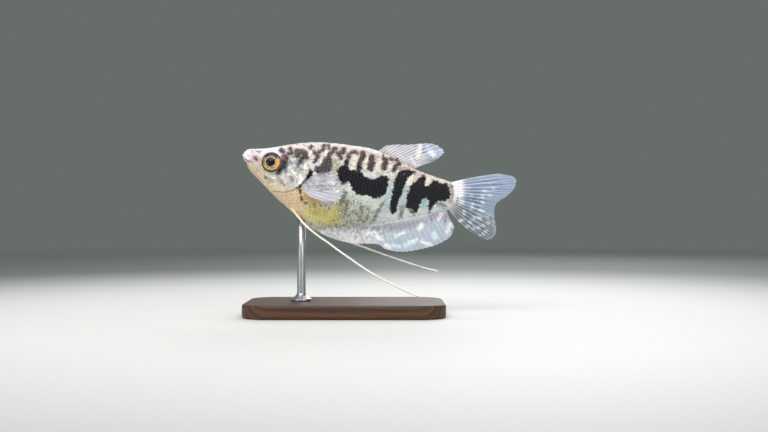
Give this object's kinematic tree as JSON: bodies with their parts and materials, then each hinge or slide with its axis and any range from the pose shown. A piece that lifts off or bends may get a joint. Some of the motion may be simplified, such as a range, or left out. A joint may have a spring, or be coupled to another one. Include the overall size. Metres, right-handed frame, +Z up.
{
  "type": "opaline gourami",
  "caption": "Still life-size model of a marbled gourami with long feelers and spread tail, swimming nose up on a plain rod and base.",
  "frame": {"origin": "on the stand's underside, below the middle of the fish, midway between snout and tail tip", "axes": "+X from snout to tail, +Z up, and the fish's left flank faces -Y"},
  "size_m": [0.0805, 0.034, 0.0506],
  "materials": {
    "skin": "painted cast flesh: silvery beige with black marbling",
    "gill_cover": "painted plate: silver cream, mottled",
    "eye": "clear gloss over a gold iris and black pupil",
    "fin": "thin clear blade with pale rays",
    "feeler": "ivory thread",
    "stand_base": "dark oiled hardwood",
    "stand_rod": "turned steel"
  },
  "bodies": {
    "root": {"head": "skin", "trunk": "skin", "tail_stalk": "skin", "gill_cover_left": "gill_cover", "gill_cover_right": "gill_cover", "eye_left": "eye", "eye_right": "eye", "dorsal_fin": "fin", "anal_fin": "fin", "caudal_fin": "fin", "pectoral_fin_left": "fin", "pectoral_fin_right": "fin", "feeler_left": "feeler", "feeler_right": "feeler", "stand_base": "stand_base", "stand_rod": "stand_rod"}
  },
  "joints": []
}
